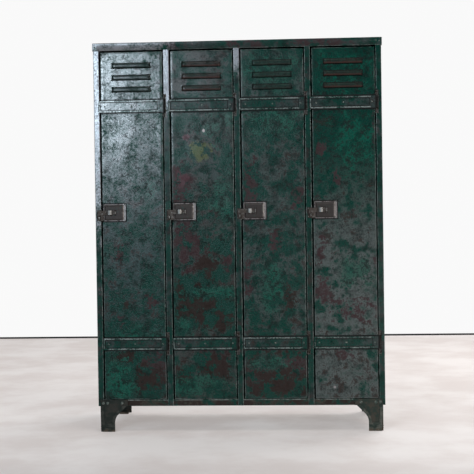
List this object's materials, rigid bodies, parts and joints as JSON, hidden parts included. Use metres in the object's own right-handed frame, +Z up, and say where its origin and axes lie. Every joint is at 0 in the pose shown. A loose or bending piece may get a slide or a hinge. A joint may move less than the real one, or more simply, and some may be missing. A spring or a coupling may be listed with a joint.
{
  "type": "school locker",
  "caption": "Tall steel locker with side-by-side strap-hinged doors, pressed louvres, padlock hasps and cast bracket feet.",
  "frame": {"origin": "middle of the bounding box's footprint, on the floor under the feet", "axes": "+Z up; the doors face -Y; +X to the right of someone facing the doors"},
  "size_m": [1.332, 0.5206, 1.8],
  "materials": {
    "body_paint": "satin green enamel worn to grey-brown primer and bright steel at the edges",
    "door_paint": "satin green enamel, mottled and rubbed through to red-brown primer",
    "strap_paint": "satin green enamel rubbed bright along the bead",
    "latch_steel": "dull pressed steel with traces of green paint",
    "worn_steel": "handled steel, bright on the grip and brown in the corners",
    "hinge_steel": "dark oiled steel",
    "rivet_steel": "painted over and rubbed bright on the crown",
    "foot_iron": "cast iron under green-black paint",
    "rail_steel": "plain steel tube, dulled"
  },
  "bodies": {
    "carcass": {"back_panel": "body_paint", "body_rivets": "rivet_steel", "bottom_panel": "body_paint", "coat_rails": "rail_steel", "corner_tabs": "body_paint", "foot_bolts": "rivet_steel", "front_foot_left": "foot_iron", "front_foot_right": "foot_iron", "hinge_brackets": "hinge_steel", "hinge_pins": "hinge_steel", "keeper_1": "worn_steel", "keeper_2": "worn_steel", "keeper_3": "worn_steel", "keeper_4": "worn_steel", "partition_1": "body_paint", "partition_2": "body_paint", "partition_3": "body_paint", "post_1": "body_paint", "post_2": "body_paint", "post_3": "body_paint", "rail_cups": "rail_steel", "rear_foot_left": "foot_iron", "rear_foot_right": "foot_iron", "shelves": "body_paint", "side_panel_left": "body_paint", "side_panel_right": "body_paint", "sill_rails": "body_paint", "stile_left": "body_paint", "stile_right": "body_paint", "top_panel": "body_paint", "top_rim": "body_paint"},
    "door_1": {"door_1": "door_paint", "upper_strap_1": "strap_paint", "lower_strap_1": "strap_paint", "latch_plate_1": "latch_steel", "hasp_pin_1": "worn_steel", "door_rivets_1": "rivet_steel"},
    "hasp_1": {"hasp_1": "worn_steel"},
    "door_2": {"door_2": "door_paint", "upper_strap_2": "strap_paint", "lower_strap_2": "strap_paint", "latch_plate_2": "latch_steel", "hasp_pin_2": "worn_steel", "door_rivets_2": "rivet_steel"},
    "hasp_2": {"hasp_2": "worn_steel"},
    "door_3": {"door_3": "door_paint", "upper_strap_3": "strap_paint", "lower_strap_3": "strap_paint", "latch_plate_3": "latch_steel", "hasp_pin_3": "worn_steel", "door_rivets_3": "rivet_steel"},
    "hasp_3": {"hasp_3": "worn_steel"},
    "door_4": {"door_4": "door_paint", "upper_strap_4": "strap_paint", "lower_strap_4": "strap_paint", "latch_plate_4": "latch_steel", "hasp_pin_4": "worn_steel", "door_rivets_4": "rivet_steel"},
    "hasp_4": {"hasp_4": "worn_steel"}
  },
  "joints": [
    {"name": "door_1_hinge", "type": "hinge", "parent": "carcass", "child": "door_1", "pos_m": [-0.338, -0.23575, 0.9], "axis": [0, 0, 1], "range_deg": [0, 95]},
    {"name": "hasp_1_swing", "type": "hinge", "parent": "door_1", "child": "hasp_1", "pos_m": [-0.5695, -0.24925, 1.016], "axis": [0, 0, 1], "range_deg": [0, 130]},
    {"name": "door_2_hinge", "type": "hinge", "parent": "carcass", "child": "door_2", "pos_m": [-0.013, -0.23575, 0.9], "axis": [0, 0, 1], "range_deg": [0, 95]},
    {"name": "hasp_2_swing", "type": "hinge", "parent": "door_2", "child": "hasp_2", "pos_m": [-0.2445, -0.24925, 1.016], "axis": [0, 0, 1], "range_deg": [0, 130]},
    {"name": "door_3_hinge", "type": "hinge", "parent": "carcass", "child": "door_3", "pos_m": [0.312, -0.23575, 0.9], "axis": [0, 0, 1], "range_deg": [0, 95]},
    {"name": "hasp_3_swing", "type": "hinge", "parent": "door_3", "child": "hasp_3", "pos_m": [0.0805, -0.24925, 1.016], "axis": [0, 0, 1], "range_deg": [0, 130]},
    {"name": "door_4_hinge", "type": "hinge", "parent": "carcass", "child": "door_4", "pos_m": [0.637, -0.23575, 0.9], "axis": [0, 0, 1], "range_deg": [0, 95]},
    {"name": "hasp_4_swing", "type": "hinge", "parent": "door_4", "child": "hasp_4", "pos_m": [0.4055, -0.24925, 1.016], "axis": [0, 0, 1], "range_deg": [0, 130]}
  ]
}
